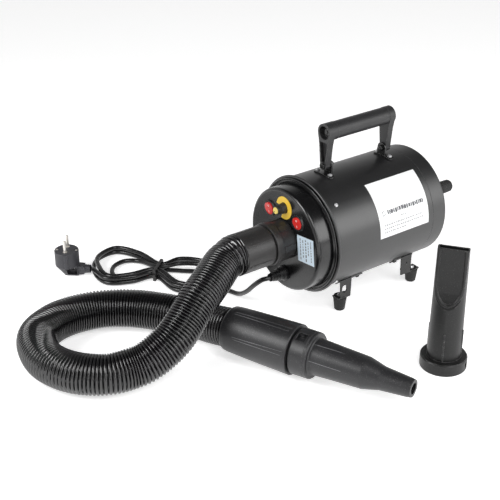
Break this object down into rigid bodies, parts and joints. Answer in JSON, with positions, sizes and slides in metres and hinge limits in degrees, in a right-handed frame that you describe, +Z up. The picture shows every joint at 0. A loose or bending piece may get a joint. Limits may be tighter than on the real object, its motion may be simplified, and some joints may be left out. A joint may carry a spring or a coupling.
{
  "type": "pet dryer",
  "caption": "Black barrel-shaped pet dryer with carry handle, ribbed hose, hand wand with round nozzle, loose flat nozzle and corded plug.",
  "frame": {"origin": "on the floor plane under the middle of the barrel's axis", "axes": "+Z up, the barrel axis along Y with the control panel facing -Y, +X to the right when looking along +Y"},
  "size_m": [0.5964, 0.6435, 0.2676],
  "materials": {
    "black_paint": "semi-gloss black paint with fine orange peel",
    "gloss_black_steel": "gloss black dipped steel",
    "handle_plastic": "matte charcoal moulded plastic",
    "nozzle_plastic": "fine-textured black moulded plastic",
    "duct_plastic": "satin black moulded plastic",
    "hose_plastic": "glossy black ribbed polymer",
    "black_rubber": "matte black rubber",
    "cord_rubber": "smooth black cable sheath",
    "plug_plastic": "dark grey moulded thermoplastic",
    "zinc_screw": "bright zinc plated",
    "nickel_pin": "nickel plated brass",
    "red_rocker": "glossy red plastic",
    "yellow_cap": "satin yellow plastic",
    "yellow_dial": "printed yellow film",
    "switch_black": "gloss black plastic",
    "knob_black": "satin black plastic",
    "label_blue": null,
    "label_white": null,
    "filter_foam": "open-cell foam",
    "aluminium": "die-cast and pressed aluminium",
    "steel": "laminated and turned steel",
    "copper": "enamelled copper winding",
    "brass": "pressed brass",
    "carbon": "carbon brush block",
    "mica": "mica sheet",
    "board": "circuit board"
  },
  "bodies": {
    "root": {"barrel_shell": "black_paint", "front_cover": "black_paint", "front_cover_screws": "zinc_screw", "rear_cover": "black_paint", "rear_cover_screws": "zinc_screw", "rear_rubber_feet": "black_rubber", "handle_brackets": "gloss_black_steel", "bracket_screws": "zinc_screw", "foot_brackets": "gloss_black_steel", "foot_bracket_screws": "gloss_black_steel", "rubber_feet": "black_rubber", "foot_bolts": "zinc_screw", "dial_plate": "yellow_dial", "potentiometer": "aluminium", "switch_left": "switch_black", "switch_right": "switch_black", "panel_label": "label_blue", "barrel_label": "label_white", "outlet_stub": "duct_plastic", "outlet_ring": "duct_plastic", "hose": "hose_plastic", "cord_gland": "cord_rubber", "gland_nut": "duct_plastic", "power_cord": "cord_rubber", "cable_tie": "duct_plastic", "plug_body": "plug_plastic", "plug_pins": "nickel_pin", "plug_earth_clips": "nickel_pin", "fan_housing": "aluminium", "fan_stage_plate": "aluminium", "stator_core": "steel", "field_windings": "copper", "motor_frame": "aluminium", "motor_bearings": "steel", "brush_holders": "brass", "carbon_brushes": "carbon", "motor_bulkhead": "steel", "rubber_mount_ring": "black_rubber", "heater_frame": "mica", "heater_coil": "steel", "control_board": "board"},
    "rotor": {"rotor_shaft": "steel", "armature": "copper", "impellers": "aluminium"},
    "speed_knob": {"speed_knob": "knob_black", "knob_cap": "yellow_cap", "pot_shaft": "steel"},
    "rocker_left": {"rocker_left": "red_rocker"},
    "rocker_right": {"rocker_right": "red_rocker"},
    "handle": {"handle_front_arm": "handle_plastic", "handle_rear_arm": "handle_plastic", "handle_grip": "handle_plastic", "handle_tie_rod": "gloss_black_steel", "handle_pivot_bolts": "gloss_black_steel"},
    "hose_cuff": {"hose_cuff": "duct_plastic"},
    "wand": {"wand_grip": "nozzle_plastic"},
    "nozzle": {"round_nozzle": "nozzle_plastic"},
    "flat_nozzle": {"flat_nozzle": "nozzle_plastic"},
    "filter_cover": {"filter_cover": "duct_plastic", "filter_foam": "filter_foam"}
  },
  "joints": [
    {"name": "rotor_spin", "type": "hinge", "parent": "root", "child": "rotor", "pos_m": [0, 0, 0.111], "axis": [0, 1, 0], "continuous": true},
    {"name": "speed_knob_turn", "type": "hinge", "parent": "root", "child": "speed_knob", "pos_m": [0, -0.143, 0.1604], "axis": [0, 1, 0], "range_deg": [0, 270]},
    {"name": "rocker_left_tilt", "type": "hinge", "parent": "root", "child": "rocker_left", "pos_m": [-0.031, -0.1356, 0.149], "axis": [1, 0, 0], "range_deg": [-16, 0]},
    {"name": "rocker_right_tilt", "type": "hinge", "parent": "root", "child": "rocker_right", "pos_m": [0.031, -0.1356, 0.149], "axis": [1, 0, 0], "range_deg": [-16, 0]},
    {"name": "handle_pivot", "type": "hinge", "parent": "root", "child": "handle", "pos_m": [0, 0, 0.206], "axis": [0, 1, 0], "range_deg": [-80, 80]},
    {"name": "cuff_twist", "type": "hinge", "parent": "root", "child": "hose_cuff", "pos_m": [0, -0.16, 0.113], "axis": [0, 1, 0], "range_deg": [0, 30]},
    {"name": "wand_swing", "type": "hinge", "parent": "root", "child": "wand", "pos_m": [-0.0114, -0.2784, 0.0282], "axis": [0, 0, 1], "range_deg": [-15, 8], "deforming": ["hose"]},
    {"name": "nozzle_twist", "type": "hinge", "parent": "wand", "child": "nozzle", "pos_m": [0.0439, -0.2602, 0.0346], "axis": [0.9336, 0.3584, 0], "range_deg": [-16, 0]},
    {"name": "flat_nozzle_lift", "type": "slide", "parent": "root", "child": "flat_nozzle", "axis": [0, 0, 1], "range_m": [0, 0.15]},
    {"name": "filter_cover_pull", "type": "slide", "parent": "root", "child": "filter_cover", "axis": [0, 1, 0], "range_m": [0, 0.05]}
  ]
}
